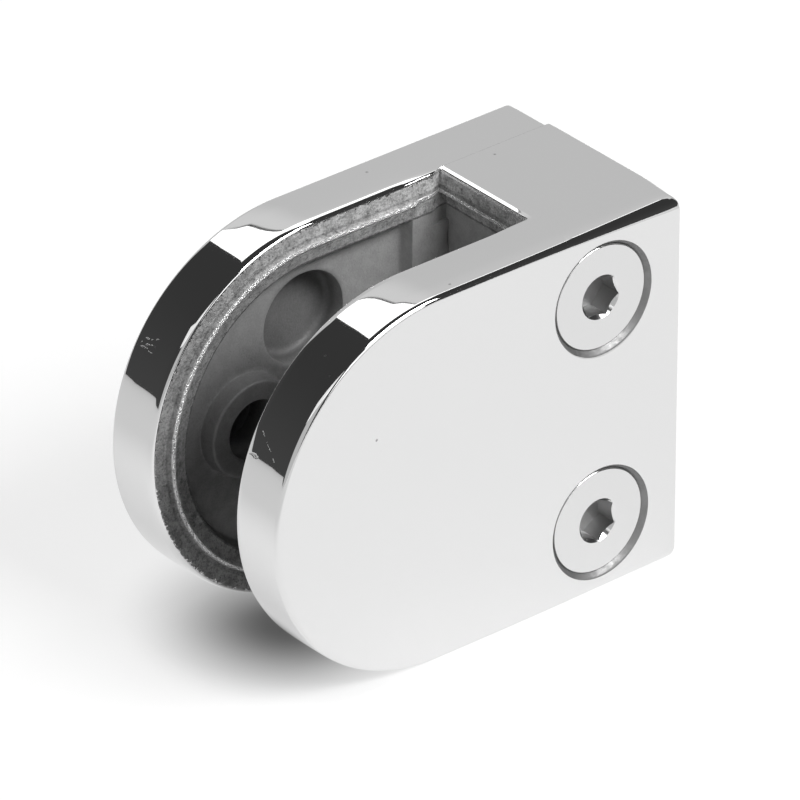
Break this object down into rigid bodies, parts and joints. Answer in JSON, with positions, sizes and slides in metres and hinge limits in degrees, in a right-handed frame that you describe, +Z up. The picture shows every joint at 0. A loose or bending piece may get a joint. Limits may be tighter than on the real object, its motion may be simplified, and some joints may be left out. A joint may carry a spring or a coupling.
{
  "type": "glass panel clamp",
  "caption": "D-shaped glass panel clamp: one jaw cast with its bridge block, and a cover plate drawn onto it by countersunk hex-socket screws.",
  "frame": {"origin": "centre of the flat mounting face, on the axis of the fixing hole", "axes": "+X out of the mounting face, away from the glass; +Y across the jaws, from the screw heads to the cover plate; +Z up"},
  "size_m": [0.05, 0.025, 0.04],
  "materials": {
    "polished_casting": "mirror-polished stainless steel outside, as cast on the faces towards the glass",
    "screw_steel": "bright stainless steel, turned"
  },
  "bodies": {
    "body": {"clamp_body": "polished_casting"},
    "plate": {"clamp_plate": "polished_casting"},
    "upper_screw": {"upper_screw": "screw_steel"},
    "lower_screw": {"lower_screw": "screw_steel"}
  },
  "joints": [
    {"name": "plate_slide", "type": "slide", "parent": "body", "child": "plate", "axis": [0, 1, 0], "range_m": [0, 0.004]},
    {"name": "upper_screw_turn", "type": "hinge", "parent": "body", "child": "upper_screw", "pos_m": [-0.0097, 0, 0.01235], "axis": [0, -1, 0], "range_deg": [0, 1440]},
    {"name": "lower_screw_turn", "type": "hinge", "parent": "body", "child": "lower_screw", "pos_m": [-0.0097, 0, -0.01235], "axis": [0, -1, 0], "range_deg": [0, 1440]}
  ],
  "couplings": [
    {"joint": "upper_screw_turn", "follows": "plate_slide", "rad_per_m": 6283.2},
    {"joint": "lower_screw_turn", "follows": "plate_slide", "rad_per_m": 6283.2}
  ]
}
